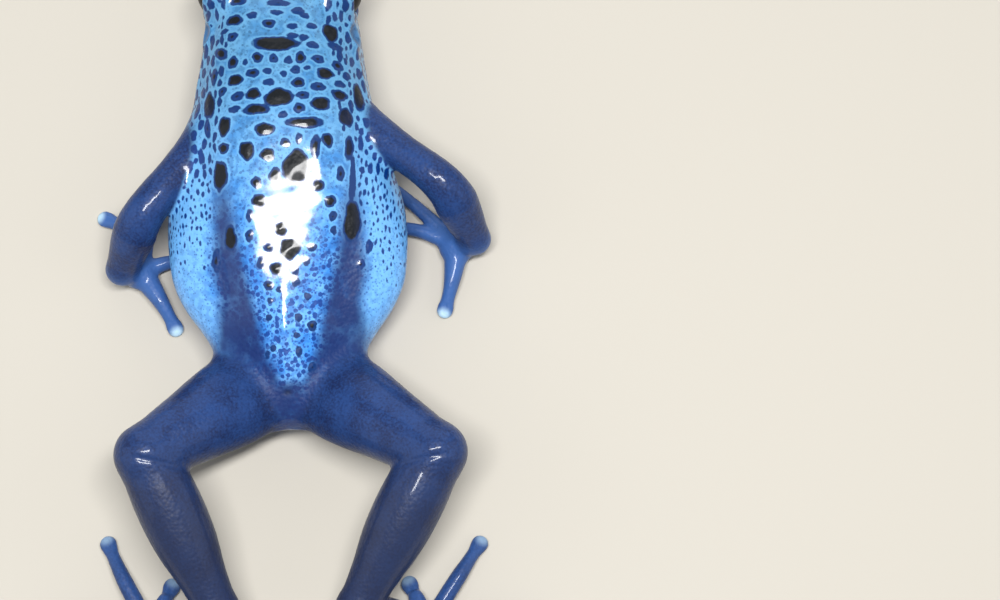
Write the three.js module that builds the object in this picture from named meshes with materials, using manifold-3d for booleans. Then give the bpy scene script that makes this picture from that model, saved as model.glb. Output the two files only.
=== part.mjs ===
// Blue poison dart frog, life size, lying with its belly on a flat surface, legs spread.
// Millimetres. +X is the frog's right, +Y its front, +Z up. While it is built the vent is at
// y = 0 and the surface at z = 0; at the end the origin moves to the middle of the footprint.
import * as THREE from 'three';
import { LoftGeometry } from 'three/addons/geometries/LoftGeometry.js';
import { mergeVertices } from 'three/addons/utils/BufferGeometryUtils.js';
import Module from 'manifold-3d';

const wasm = await Module();
wasm.setup();

// Fineness of the faceted solids
const GAP = 0.3;
const BODY_SIDES = 24;
const BODY_STEP = 2.0;
const LIMB_SIDES = 12;
const LIMB_RINGS = 4;
const DIGIT_SIDES = 8;
const END_ANGLES = [65, 30];
const BALL_SEGMENTS = 14;
const BALL_RINGS = 9;

// Body, from the tip of the snout to behind the vent. The underside dips below the surface in
// the middle, where the surface presses it flat.
const BODY = [
  { y: 42.7, mid: -1.35, half: 0.8, top: 6.1, widest: 5.3, bottom: 4.6, square: 2.2 },
  { y: 42.2, mid: -1.35, half: 2.2, top: 6.8, widest: 5.2, bottom: 3.7, square: 2.3 },
  { y: 41.0, mid: -1.33, half: 3.4, top: 7.4, widest: 5.0, bottom: 2.8, square: 2.5 },
  { y: 39.0, mid: -1.30, half: 4.5, top: 8.2, widest: 4.7, bottom: 2.0, square: 2.6 },
  { y: 34.5, mid: -1.20, half: 6.1, top: 9.8, widest: 4.4, bottom: 0.8, square: 2.5 },
  { y: 31.0, mid: -1.05, half: 6.8, top: 10.7, widest: 4.5, bottom: 0.2, square: 2.3 },
  { y: 27.0, mid: -0.95, half: 7.4, top: 11.2, widest: 4.6, bottom: -0.6, square: 2.2 },
  { y: 22.0, mid: -0.80, half: 8.4, top: 11.5, widest: 4.7, bottom: -1.1, square: 2.1 },
  { y: 16.0, mid: -0.45, half: 9.9, top: 10.7, widest: 4.6, bottom: -1.1, square: 2.1 },
  { y: 10.5, mid: -0.25, half: 9.8, top: 9.5, widest: 4.4, bottom: -1.1, square: 2.1 },
  { y: 7.5, mid: -0.20, half: 8.7, top: 8.8, widest: 4.3, bottom: -0.9, square: 2.1 },
  { y: 4.5, mid: -0.10, half: 6.8, top: 8.1, widest: 4.2, bottom: -0.3, square: 2.1 },
  { y: 1.0, mid: 0, half: 5.2, top: 7.3, widest: 4.1, bottom: 0.7, square: 2.3 },
  { y: -1.4, mid: 0, half: 3.2, top: 6.2, widest: 4.0, bottom: 1.9, square: 2.4 },
  { y: -2.7, mid: 0, half: 0.9, top: 4.8, widest: 3.9, bottom: 3.2, square: 2.3 },
];
const BELLY_POWER = 1.8;
// Rows at either end of the body that are sections of the solid themselves
const SNOUT_ROWS = 4;
const RUMP_ROWS = 2;
const HEAD_REAR = 29.5;
const RUMP_FRONT = 4.5;

// Mouth
const MOUTH_HEIGHT = 4.3;
const JAW_ANGLE_Y = 31.5;

// Eyes, each under a brow that leaves its outer side open
const EYE_RADIUS = 2.3;
const EYE_OFFSET = 4.75;
const EYE_Y = 34.6;
const EYE_HEIGHT = 7.4;
const EYE_LOOK = new THREE.Vector3(0.86, 0.34, 0.16).normalize();
const BROW_RADIUS = 2.75;
const BROW_INSET = 0.45;
const BROW_EDGE = 0.75;

// Limb sections: place along the segment, width and height
const UPPER_ARM = [[0, 3.8, 3.6], [0.5, 3.1, 3.2], [1, 3.4, 3.4]];
const FOREARM = [[0, 3.4, 3.4], [0.35, 3.8, 3.6], [1, 2.7, 2.5]];
const THIGH = [[0, 7.6, 3.4], [0.3, 7.7, 5.9], [0.65, 6.3, 5.9], [1, 4.9, 4.9]];
const SHANK = [[0, 4.9, 4.9], [0.3, 5.5, 5.5], [0.55, 5.2, 5.2], [0.8, 4.0, 4.0], [1, 3.4, 3.4]];
const TARSUS = [[0, 3.4, 3.4], [0.5, 2.9, 2.9], [1, 2.5, 2.4]];
const FOOT = [[0, 2.6, 2.2], [0.5, 3.4, 2.0], [1, 4.6, 1.7]];
const FOOT_LENGTH = 3.0;

// Widths along a finger or toe, and how high its middle arches over the surface
const FINGER = { neck: 1.15, disc: 1.4, arch: 0.3 };
const FINGER_BASES = [2.3, 1.7, 1.6, 1.9];
const FINGER_MIDDLES = [1.4, 1.2, 1.15, 1.3];
const TOE = { base: 1.4, middle: 1.35, neck: 1.1, disc: 1.45, arch: 0.3 };
const DISC_LENGTH = 0.65;
const NECK_PLACE = 2.4 * DISC_LENGTH;
const NECK_LIFT = 0.05;
const TIP = { width: 0.5, height: 0.4 };
// Heights as shares of the width at the root, neck and disc, and the disc's level as a share too
const ROUND_SHARE = 0.9;
const DISC_SHARE = 0.62;
const DISC_LEVEL = 0.28;
const TIP_LEVEL = 0.2;

const PALM = { radius: 1.5, height: 1.1, depth: 0.95, stem: 2.3 };
const SOLE_DEPTH = 1.0;

// Where each toe leaves the foot: along the foot, and across it towards the frog's front
const TOE_ROOTS = [[0, 0.3], [0.4, 0.4], [4.2, 1.6], [4.4, 0], [4.2, -1.6]];

// The pose: joints of each side, and each digit's tip on the surface with its sideways bend
const POSE = {
  left: {
    shoulder: [-6.9, 22.6, 6.5],
    elbow: [-12.5, 15.1, 7.8],
    wrist: [-14.8, 11.4, 2.4],
    palm: [-13.4, 11.5],
    fingers: [[-10.0, 6.0, 0.2], [-8.2, 12.9, 0.2], [-12.6, 18.2, -0.2], [-17.4, 16.6, -1.2]],
    hip: [-1.9, 1.5, 3.5],
    knee: [-11.5, -5.75, 9],
    heel: [-5.55, -18.3, 5],
    sole: [-11.3, -19.3],
    toes: [
      [-9.8, -15.1, 0],
      [-15.8, -11.5, 0.2],
      [-22.4, -18.1, 0.3],
      [-26.1, -22.9, 0.5],
      [-20.2, -25.1, 0.3],
    ],
  },
  right: {
    shoulder: [6.1, 23.1, 6.5],
    elbow: [13.25, 17.7, 7.8],
    wrist: [15.6, 14.1, 2.4],
    palm: [14.0, 13.8],
    fingers: [[12.8, 7.6, 0.2], [7.2, 15.6, -0.5], [6.9, 20.1, -0.3], [13.6, 19.8, 0.2]],
    hip: [2.0, 1.5, 3.5],
    knee: [12.5, -5.5, 9],
    heel: [5.9, -18.0, 5],
    sole: [11.5, -18.8],
    toes: [
      [9.8, -14.9, 0],
      [16.4, -11.5, 0],
      [22.0, -17.8, -0.3],
      [25.4, -22.6, -0.5],
      [19.5, -24.4, -0.3],
    ],
  },
};

// Finishes
const SKIN_BACK = finish(0x58a4e6, 0.32);
const SKIN_LIMB = finish(0x2c4c8c, 0.34);
const SKIN_HAND = finish(0x3d68ad, 0.36);
const EYE_DARK = finish(0x0b0a0c, 0.1);

function finish(color, roughness) {
  return new THREE.MeshStandardMaterial({ color, roughness, metalness: 0 });
}

// Smooth value between rows [place, value, ...] ordered by rising place
function smoothValue(rows, place, column) {
  const last = rows.length - 1;
  let i = 0;
  while (i < last - 1 && place > rows[i + 1][0]) {
    i += 1;
  }
  const slope = (a, b) => (rows[b][column] - rows[a][column]) / (rows[b][0] - rows[a][0]);
  const step = rows[i + 1][0] - rows[i][0];
  const t = THREE.MathUtils.clamp((place - rows[i][0]) / step, 0, 1);
  const slopeIn = slope(Math.max(i - 1, 0), i + 1) * step;
  const slopeOut = slope(i, Math.min(i + 2, last)) * step;
  const start = rows[i][column];
  const end = rows[i + 1][column];
  const bend = (2 * start - 2 * end + slopeIn + slopeOut) * t ** 3;
  return bend + (3 * end - 3 * start - 2 * slopeIn - slopeOut) * t ** 2 + slopeIn * t + start;
}

function bodySizes(y) {
  const rising = [...BODY].reverse();
  const sizes = {};
  for (const key of ['mid', 'half', 'top', 'widest', 'bottom', 'square']) {
    sizes[key] = smoothValue(rising.map((row) => [row.y, row[key]]), y, 1);
  }
  return sizes;
}

// One cross-section of the body, a rounded outline wider above than the belly below
function bodySection(y, grow) {
  const size = bodySizes(y);
  const points = [];
  for (let i = 0; i < BODY_SIDES; i += 1) {
    const angle = (2 * Math.PI * i) / BODY_SIDES;
    const across = -Math.cos(angle);
    const rise = Math.sin(angle);
    const power = rise >= 0 ? size.square : BELLY_POWER;
    const reach = rise >= 0 ? size.top - size.widest : size.widest - size.bottom;
    const x = size.mid + (size.half + grow) * Math.sign(across) * Math.abs(across) ** (2 / power);
    const z = size.widest + (reach + grow) * Math.sign(rise) * Math.abs(rise) ** (2 / power);
    points.push(new THREE.Vector3(x, y, z));
  }
  return points;
}

function bodySolid(grow) {
  const snout = BODY.slice(0, SNOUT_ROWS).map((row) => row.y);
  const rump = BODY.slice(-RUMP_ROWS).map((row) => row.y);
  const front = snout[0];
  const rear = rump[RUMP_ROWS - 1];
  const places = new Set([...snout, ...rump]);
  for (let y = rear + BODY_STEP; y < snout[SNOUT_ROWS - 1] - BODY_STEP / 2; y += BODY_STEP) {
    places.add(y);
  }
  const ordered = [...places].sort((a, b) => a - b);
  const sections = ordered.map((y) => bodySection(y, grow));
  sections[0].forEach((point) => point.setY(rear - grow));
  sections[sections.length - 1].forEach((point) => point.setY(front + grow));
  return solidOf(new LoftGeometry(sections, { closed: true, capStart: true, capEnd: true }));
}

// Solids and meshes
function solidOf(geometry) {
  const bare = new THREE.BufferGeometry();
  bare.setAttribute('position', geometry.getAttribute('position').clone());
  bare.setIndex(geometry.getIndex());
  const merged = mergeVertices(bare, 1e-4);
  const vertProperties = new Float32Array(merged.getAttribute('position').array);
  const triVerts = new Uint32Array(merged.getIndex().array);
  return new wasm.Manifold(new wasm.Mesh({ numProp: 3, vertProperties, triVerts }));
}

function meshOf(name, solid, material) {
  const { vertProperties, triVerts, numProp } = solid.getMesh();
  const geometry = new THREE.BufferGeometry();
  const positions = new Float32Array((vertProperties.length / numProp) * 3);
  for (let i = 0; i < positions.length / 3; i += 1) {
    positions.set(vertProperties.subarray(i * numProp, i * numProp + 3), i * 3);
  }
  geometry.setAttribute('position', new THREE.BufferAttribute(positions, 3));
  geometry.setIndex(new THREE.BufferAttribute(new Uint32Array(triVerts), 1));
  geometry.computeVertexNormals();
  const mesh = new THREE.Mesh(geometry, material);
  mesh.name = name;
  return mesh;
}

// Keeps what lies beyond the plane through a point, in the direction given
function keepBeyond(solid, direction, point, clearance = GAP / 2) {
  const normal = direction.clone().normalize();
  return solid.trimByPlane(normal.toArray(), normal.dot(point) + clearance);
}

function aboveFloor(solid) {
  return keepBeyond(solid, new THREE.Vector3(0, 0, 1), new THREE.Vector3(), 0);
}

function ellipsoid(center, radii) {
  const ball = new THREE.SphereGeometry(1, BALL_SEGMENTS, BALL_RINGS);
  ball.scale(radii.x, radii.y, radii.z);
  ball.translate(center.x, center.y, center.z);
  return solidOf(ball);
}

// Oval ring across a path, level at its sides
function ovalRing(center, along, halfWidth, halfHeight, sides) {
  const side = new THREE.Vector3().crossVectors(along, new THREE.Vector3(0, 0, 1)).normalize();
  const lift = new THREE.Vector3().crossVectors(side, along).normalize();
  const ring = [];
  for (let i = 0; i < sides; i += 1) {
    const angle = (2 * Math.PI * i) / sides;
    const point = center.clone();
    point.addScaledVector(side, halfWidth * Math.cos(angle));
    point.addScaledVector(lift, halfHeight * Math.sin(angle));
    ring.push(point);
  }
  return ring.reverse();
}

// Straight limb segment with round ends, its thickness smooth between the sizes given
function limbSolid(start, end, sizes, rings = LIMB_RINGS) {
  const along = end.clone().sub(start);
  const unit = along.clone().normalize();
  const sections = [];
  const addEnd = (center, size, outward) => {
    const endRings = END_ANGLES.map((degrees) => {
      const angle = THREE.MathUtils.degToRad(degrees);
      const shift = (outward * Math.sin(angle) * size[1]) / 2;
      const scale = Math.cos(angle) / 2;
      const middle = center.clone().addScaledVector(unit, shift);
      return ovalRing(middle, unit, size[1] * scale, size[2] * scale, LIMB_SIDES);
    });
    sections.push(...(outward < 0 ? endRings : endRings.reverse()));
  };
  addEnd(start, sizes[0], -1);
  for (let i = 0; i <= rings; i += 1) {
    const t = i / rings;
    const halfWidth = smoothValue(sizes, t, 1) / 2;
    const halfHeight = smoothValue(sizes, t, 2) / 2;
    const middle = start.clone().addScaledVector(along, t);
    sections.push(ovalRing(middle, unit, halfWidth, halfHeight, LIMB_SIDES));
  }
  addEnd(end, sizes[sizes.length - 1], 1);
  return solidOf(new LoftGeometry(sections, { closed: true, capStart: true, capEnd: true }));
}

// Finger or toe from its root in the palm or foot to the flattened disc on the surface
function digitSolid(root, tip, sizes) {
  const flat = new THREE.Vector3(tip[0] - root.x, tip[1] - root.y, 0);
  const length = flat.length();
  const unit = flat.clone().normalize();
  const side = new THREE.Vector3(-unit.y, unit.x, 0);
  const neck = length - NECK_PLACE;
  const disc = length - DISC_LENGTH;
  const rows = [
    [0, sizes.base, sizes.base * ROUND_SHARE, root.z],
    [length / 2, sizes.middle, sizes.middle, sizes.middle / 2 + sizes.arch],
    [neck, sizes.neck, sizes.neck * ROUND_SHARE, sizes.neck / 2 + NECK_LIFT],
    [disc, sizes.disc, sizes.disc * DISC_SHARE, sizes.disc * DISC_LEVEL],
    [length, TIP.width, TIP.height, sizes.disc * TIP_LEVEL],
  ];
  const centerAt = (place) => {
    const part = place / length;
    const center = root.clone().setZ(smoothValue(rows, place, 3)).addScaledVector(unit, place);
    return center.addScaledVector(side, tip[2] * 4 * part * (1 - part));
  };
  const places = rows.map((row) => row[0]);
  places.push(length / 4, disc + DISC_LENGTH * 0.6);
  places.sort((a, b) => a - b);
  const sections = places.map((place) => {
    const along = centerAt(place + 0.05).sub(centerAt(place - 0.05)).setZ(0).normalize();
    const halfWidth = smoothValue(rows, place, 1) / 2;
    const halfHeight = smoothValue(rows, place, 2) / 2;
    return ovalRing(centerAt(place), along, halfWidth, halfHeight, DIGIT_SIDES);
  });
  return solidOf(new LoftGeometry(sections, { closed: true, capStart: true, capEnd: true }));
}

function grown(sizes) {
  return sizes.map(([place, width, height]) => [place, width + 2 * GAP, height + 2 * GAP]);
}

// Palm: a flat pad, with a short stem up to the wrist
function palmSolid(center, wrist, grow) {
  const radius = PALM.radius + grow;
  const pad = ellipsoid(center, new THREE.Vector3(radius, radius, PALM.height + grow));
  const width = PALM.stem + 2 * grow;
  return pad.add(limbSolid(wrist, center, [[0, width, width], [1, width, width * 0.8]], 1));
}

// Splits two neighbouring segments on the plane that halves the angle between them
function mitre(first, second, before, joint, after) {
  const inward = joint.clone().sub(before).normalize();
  const outward = after.clone().sub(joint).normalize();
  const across = inward.add(outward);
  const kept = keepBeyond(first, across.clone().negate(), joint);
  return [kept, keepBeyond(second, across, joint)];
}

function vector(values) {
  return new THREE.Vector3(values[0], values[1], values[2] ?? 0);
}

function eyeCenter(sign) {
  return new THREE.Vector3(bodySizes(EYE_Y).mid + sign * EYE_OFFSET, EYE_Y, EYE_HEIGHT);
}

function eyeSolid(sign, grow) {
  const radius = EYE_RADIUS + grow;
  const radii = new THREE.Vector3(radius, radius, radius);
  return ellipsoid(eyeCenter(sign), radii);
}

function browSolid(sign) {
  const radii = new THREE.Vector3(BROW_RADIUS, BROW_RADIUS, BROW_RADIUS);
  const look = EYE_LOOK.clone();
  look.x *= sign;
  const center = eyeCenter(sign).addScaledVector(look, -BROW_INSET);
  const ball = ellipsoid(center, radii);
  return keepBeyond(ball, look.clone().negate(), center.addScaledVector(look, BROW_EDGE), 0);
}

// Head with its mouth slit, lower jaw and eyes
function addHead(group, body) {
  const rear = new THREE.Vector3(0, HEAD_REAR, 0);
  const forward = new THREE.Vector3(0, 1, 0);
  const whole = keepBeyond(body, forward, rear);
  const mouth = new THREE.Vector3(0, JAW_ANGLE_Y, MOUTH_HEIGHT);
  const span = 40;
  const slit = new THREE.BoxGeometry(span, span, span);
  slit.translate(0, mouth.y - GAP / 2 + span / 2, mouth.z + GAP / 2 - span / 2);
  let skull = whole.subtract(solidOf(slit));
  for (const sign of [-1, 1]) {
    skull = skull.add(browSolid(sign)).subtract(eyeSolid(sign, GAP));
    const name = sign < 0 ? 'eye_left' : 'eye_right';
    group.add(meshOf(name, eyeSolid(sign, 0), EYE_DARK));
  }
  const jaw = keepBeyond(keepBeyond(whole, forward, mouth), new THREE.Vector3(0, 0, -1), mouth);
  group.add(meshOf('head', skull, SKIN_BACK));
  group.add(meshOf('lower_jaw', jaw, SKIN_BACK));
}

function addTrunk(group, body) {
  const forward = new THREE.Vector3(0, 1, 0);
  const backward = new THREE.Vector3(0, -1, 0);
  const waist = new THREE.Vector3(0, RUMP_FRONT, 0);
  const neck = new THREE.Vector3(0, HEAD_REAR, 0);
  const trunk = keepBeyond(keepBeyond(body, forward, waist), backward, neck);
  group.add(meshOf('trunk', trunk, SKIN_BACK));
  group.add(meshOf('rump', keepBeyond(body, backward, waist), SKIN_BACK));
}

// Fingers spread from the palm, each cut from its neighbours halfway between them
function addFingers(group, side, palm, tips, room) {
  const ways = tips.map(([x, y]) => new THREE.Vector3(x - palm.x, y - palm.y, 0).normalize());
  tips.forEach((tip, i) => {
    const sizes = { ...FINGER, base: FINGER_BASES[i], middle: FINGER_MIDDLES[i] };
    let finger = digitSolid(palm, tip, sizes);
    for (const next of [i - 1, i + 1]) {
      if (ways[next]) {
        finger = keepBeyond(finger, ways[i].clone().sub(ways[next]), palm);
      }
    }
    group.add(meshOf(`finger_${side}_${i + 1}`, aboveFloor(finger.subtract(room)), SKIN_HAND));
  });
}

function addArm(group, side, bodyRoom) {
  const pose = POSE[side];
  const [shoulder, elbow, wrist] = [pose.shoulder, pose.elbow, pose.wrist].map(vector);
  const palm = vector([...pose.palm, PALM.depth]);
  let upper = limbSolid(shoulder, elbow, UPPER_ARM);
  let fore = limbSolid(elbow, wrist, FOREARM);
  let hand = palmSolid(palm, wrist, 0);
  [upper, fore] = mitre(upper, fore, shoulder, elbow, wrist);
  [fore, hand] = mitre(fore, hand, elbow, wrist, palm);
  const room = bodyRoom.add(palmSolid(palm, wrist, GAP)).add(limbSolid(elbow, wrist, grown(FOREARM)));
  group.add(meshOf(`upper_arm_${side}`, upper.subtract(bodyRoom), SKIN_LIMB));
  group.add(meshOf(`forearm_${side}`, fore, SKIN_LIMB));
  group.add(meshOf(`hand_${side}`, aboveFloor(hand), SKIN_HAND));
  addFingers(group, side, palm, pose.fingers, room);
}

// Toes leave the end and the inner side of the foot, which points along the fourth toe
function addToes(group, side, sole, tips, room) {
  const axis = new THREE.Vector3(tips[3][0] - sole.x, tips[3][1] - sole.y, 0).normalize();
  const across = new THREE.Vector3(-axis.y, axis.x, 0);
  across.multiplyScalar(Math.sign(across.y));
  tips.forEach((tip, i) => {
    const [forward, sideways] = TOE_ROOTS[i];
    const root = sole.clone().addScaledVector(axis, forward).addScaledVector(across, sideways);
    const toe = digitSolid(root, tip, TOE).subtract(room);
    group.add(meshOf(`toe_${side}_${i + 1}`, aboveFloor(toe), SKIN_HAND));
  });
}

function addLeg(group, side, bodyRoom) {
  const pose = POSE[side];
  const [hip, knee, heel] = [pose.hip, pose.knee, pose.heel].map(vector);
  const sole = vector([...pose.sole, SOLE_DEPTH]);
  const toeTip = vector([pose.toes[3][0], pose.toes[3][1], SOLE_DEPTH]);
  const ball = toeTip.sub(sole).setLength(FOOT_LENGTH).add(sole);
  const outward = new THREE.Vector3(side === 'left' ? -1 : 1, 0, 0);
  let thigh = limbSolid(hip, knee, THIGH);
  let shank = limbSolid(knee, heel, SHANK);
  let tarsus = limbSolid(heel, sole, TARSUS);
  let foot = limbSolid(sole, ball, FOOT);
  [thigh, shank] = mitre(thigh, shank, hip, knee, heel);
  [shank, tarsus] = mitre(shank, tarsus, knee, heel, sole);
  [tarsus, foot] = mitre(tarsus, foot, heel, sole, ball);
  thigh = keepBeyond(thigh.subtract(bodyRoom), outward, new THREE.Vector3());
  const room = limbSolid(sole, ball, grown(FOOT)).add(limbSolid(heel, sole, grown(TARSUS)));
  group.add(meshOf(`thigh_${side}`, thigh, SKIN_LIMB));
  group.add(meshOf(`shank_${side}`, shank, SKIN_LIMB));
  group.add(meshOf(`tarsus_${side}`, aboveFloor(tarsus), SKIN_LIMB));
  group.add(meshOf(`foot_${side}`, aboveFloor(foot), SKIN_HAND));
  addToes(group, side, sole, pose.toes, room);
}

function buildFrog() {
  const group = new THREE.Group();
  const body = aboveFloor(bodySolid(0));
  const room = bodySolid(GAP);
  addHead(group, body);
  addTrunk(group, body);
  for (const side of ['left', 'right']) {
    addArm(group, side, room);
    addLeg(group, side, room);
  }
  return group;
}

// The origin is under the middle of the frog's box
function standOnOrigin(model) {
  const box = new THREE.Box3().setFromObject(model);
  const middle = box.getCenter(new THREE.Vector3());
  model.position.set(-middle.x, -middle.y, -box.min.z);
  const frog = new THREE.Group();
  frog.add(model);
  return frog;
}

export default standOnOrigin(buildFrog());
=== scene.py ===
import math

import bpy
import numpy as np
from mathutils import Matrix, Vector


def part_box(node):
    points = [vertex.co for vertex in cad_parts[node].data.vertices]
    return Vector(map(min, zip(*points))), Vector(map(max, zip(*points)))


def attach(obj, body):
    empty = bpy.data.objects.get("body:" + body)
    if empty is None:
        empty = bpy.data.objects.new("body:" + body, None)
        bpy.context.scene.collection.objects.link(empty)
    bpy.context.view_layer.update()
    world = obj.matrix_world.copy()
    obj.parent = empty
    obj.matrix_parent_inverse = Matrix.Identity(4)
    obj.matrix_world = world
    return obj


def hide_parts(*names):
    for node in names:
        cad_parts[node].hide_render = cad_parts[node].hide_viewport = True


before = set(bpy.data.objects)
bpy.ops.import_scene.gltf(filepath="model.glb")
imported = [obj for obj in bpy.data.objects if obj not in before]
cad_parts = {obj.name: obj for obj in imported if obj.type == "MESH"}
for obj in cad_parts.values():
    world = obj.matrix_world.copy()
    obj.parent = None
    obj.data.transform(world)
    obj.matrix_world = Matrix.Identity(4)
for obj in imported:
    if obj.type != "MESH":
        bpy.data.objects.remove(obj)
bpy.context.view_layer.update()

SEED = 20

# The photo's camera: 1000 x 600 pixels, looking down on the frog from behind
IMAGE_WIDTH, IMAGE_HEIGHT = 1000, 600
LENS_MM, SENSOR_MM = 100.0, 36.0
CAMERA_TARGET = (17.77, 7.96, 6.0)
CAMERA_DISTANCE = 235.0
CAMERA_ELEVATION = math.radians(78.0)

# Grid on which the skin is worked out
QUICK_STEP, FULL_STEP = 0.2, 0.125
SLOPE_REACH, SETTLE_STEPS, SETTLE_LIMIT = 0.7, 3, 0.4
STEP = FULL_STEP
GRID_LOW = np.array([-28.0, -27.5, -0.7])
GRID_HIGH = np.array([27.5, 44.5, 12.9])
FAR = 3.0

# Body sizes from rump to snout: y, middle, half width, top, widest level, bottom, squareness
BODY = [
    (-2.7, 0.0, 0.9, 4.8, 3.9, 3.2, 2.3),
    (-1.4, 0.0, 3.2, 6.2, 4.0, 1.9, 2.4),
    (1.0, 0.0, 5.2, 7.3, 4.1, 0.7, 2.3),
    (4.5, -0.10, 6.8, 8.1, 4.2, -0.3, 2.1),
    (7.5, -0.20, 8.7, 8.8, 4.3, -0.9, 2.1),
    (10.5, -0.25, 9.8, 9.5, 4.4, -1.1, 2.1),
    (16.0, -0.45, 9.9, 10.7, 4.6, -1.1, 2.1),
    (22.0, -0.80, 8.4, 11.5, 4.7, -1.1, 2.1),
    (27.0, -0.95, 7.4, 11.2, 4.6, -0.6, 2.2),
    (31.0, -1.05, 6.8, 10.7, 4.5, 0.2, 2.3),
    (34.5, -1.20, 6.1, 9.8, 4.4, 0.8, 2.5),
    (39.0, -1.30, 4.5, 8.2, 4.7, 2.0, 2.6),
    (41.0, -1.33, 3.4, 7.4, 5.0, 2.8, 2.5),
    (42.2, -1.35, 2.2, 6.8, 5.2, 3.7, 2.3),
    (42.7, -1.35, 0.8, 6.1, 5.3, 4.6, 2.2),
]
BELLY_POWER = 1.8
MOUTH_HEIGHT = 4.3
JAW_START = (30.9, 32.1)
EYE_RADIUS, EYE_OFFSET, EYE_Y, EYE_HEIGHT = 2.3, 4.75, 34.6, 7.4
EYE_LOOK = (0.86, 0.34, 0.16)
EYE_RINGS, EYE_SEGMENTS = 48, 64
CORNEA_RISE, CORNEA_ANGLE = 0.05, 0.62
PUPIL_SIZE = (0.42, 0.30)
LID_THICKNESS, LID_OPENING, LID_DROP = 0.38, (0.90, 0.74), -0.06
NOSTRIL_Y, NOSTRIL_TURN, NOSTRIL_SHARE, NOSTRIL_RADIUS = 41.2, 52, 0.94, 0.34
EAR_Y, EAR_TURN, EAR_RADIUS = 30.9, 24, 1.05
VENT = (0.0, -0.1, 6.2)
KNEE_CREASE = ((2.8, -1.15), (-1.2, -0.4))

# Relief as depth and width, where a negative depth stands out
GROOVE, SPINE, SPINE_CREST, PLATEAU = (0.32, 1.5), (-0.2, 1.4), (-0.05, 0.45), (0.17, 2.4)
FLANK, CROWN, NAPE, NECK_FOLD = (-0.22, 1.8), (0.22, 1.9), (0.10, 3.0), (-0.18, 0.5)
MOUTH_SLIT, LIP, NOSTRIL_RIM, EAR_DISH = (0.30, 0.17), (-0.10, 0.5), (-0.12, 0.3), (0.22, 0.8)
EAR_RIM, VENT_DIP, KNEE_FOLD, PAD_GROOVE = (-0.17, 0.24), (0.14, 0.45), (0.14, 0.25), (0.10, 0.14)

# Limb sections: place along the segment, width and height
UPPER_ARM = [(0, 3.8, 3.6), (0.5, 3.1, 3.2), (1, 3.4, 3.4)]
FOREARM = [(0, 3.4, 3.4), (0.35, 3.8, 3.6), (1, 2.7, 2.5)]
THIGH = [(0, 7.6, 3.4), (0.3, 7.7, 5.9), (0.65, 6.3, 5.9), (1, 4.9, 4.9)]
SHANK = [(0, 4.9, 4.9), (0.3, 5.5, 5.5), (0.55, 5.2, 5.2), (0.8, 4.0, 4.0), (1, 3.4, 3.4)]
TARSUS = [(0, 3.4, 3.4), (0.5, 2.9, 2.9), (1, 2.5, 2.4)]
FOOT = [(0, 2.6, 2.2), (0.5, 3.4, 2.0), (1, 4.6, 1.7)]
FOOT_LENGTH = 3.0
PALM_RADIUS, PALM_HEIGHT, PALM_DEPTH, PALM_STEM = 1.5, 1.1, 0.95, 2.3
SOLE_DEPTH = 1.0
BLEND = {"arm": 0.9, "stem": 0.6, "palm": 0.5, "finger": 0.3, "thigh": 1.3, "shank": 0.7, "foot": 0.6}
FINGER = {"base": 2.3, "middle": 1.4, "neck": 1.15, "disc": 1.4, "arch": 0.3}
TOE = {"base": 1.4, "middle": 1.35, "neck": 1.1, "disc": 1.45, "arch": 0.3}
DISC_LENGTH, DISC_SHARE, DISC_LEVEL = 0.65, 0.62, 0.28
NECK_PLACE, NECK_LIFT, ROUND_SHARE, TIP, TIP_LEVEL = 2.4, 0.05, 0.9, (0.5, 0.4), 0.2
DIGIT_KNOTS = 17
ARM_KNOTS = (5, 9, 7)
ELBOW_ROUND = 0.32
FINGER_BASES = (2.3, 1.7, 1.6, 1.9)
FINGER_MIDDLES = (1.4, 1.2, 1.15, 1.3)
TOE_ROOTS = [(0, 0.3), (0.4, 0.4), (4.2, 1.6), (4.4, 0), (4.2, -1.6)]

POSE = {
    "left": {
        "shoulder": (-6.9, 22.6, 6.5),
        "elbow": (-12.5, 15.1, 7.8),
        "wrist": (-14.8, 11.4, 2.4),
        "palm": (-13.4, 11.5),
        "fingers": [(-10.0, 6.0, 0.2), (-8.2, 12.9, 0.2), (-12.6, 18.2, -0.2), (-17.4, 16.6, -1.2)],
        "hip": (-1.9, 1.5, 3.5),
        "knee": (-11.5, -5.75, 9),
        "heel": (-5.55, -18.3, 5),
        "sole": (-11.3, -19.3),
        "toes": [
            (-9.8, -15.1, 0), (-15.8, -11.5, 0.2), (-22.4, -18.1, 0.3),
            (-26.1, -22.9, 0.5), (-20.2, -25.1, 0.3),
        ],
    },
    "right": {
        "shoulder": (6.1, 23.1, 6.5),
        "elbow": (13.25, 17.7, 7.8),
        "wrist": (15.6, 14.1, 2.4),
        "palm": (14.0, 13.8),
        "fingers": [(12.8, 7.6, 0.2), (7.2, 15.6, -0.5), (6.9, 20.1, -0.3), (13.6, 19.8, 0.2)],
        "hip": (2.0, 1.5, 3.5),
        "knee": (12.5, -5.5, 9),
        "heel": (5.9, -18.0, 5),
        "sole": (11.5, -18.8),
        "toes": [
            (9.8, -14.9, 0), (16.4, -11.5, 0), (22.0, -17.8, -0.3),
            (25.4, -22.6, -0.5), (19.5, -24.4, -0.3),
        ],
    },
}

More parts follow.
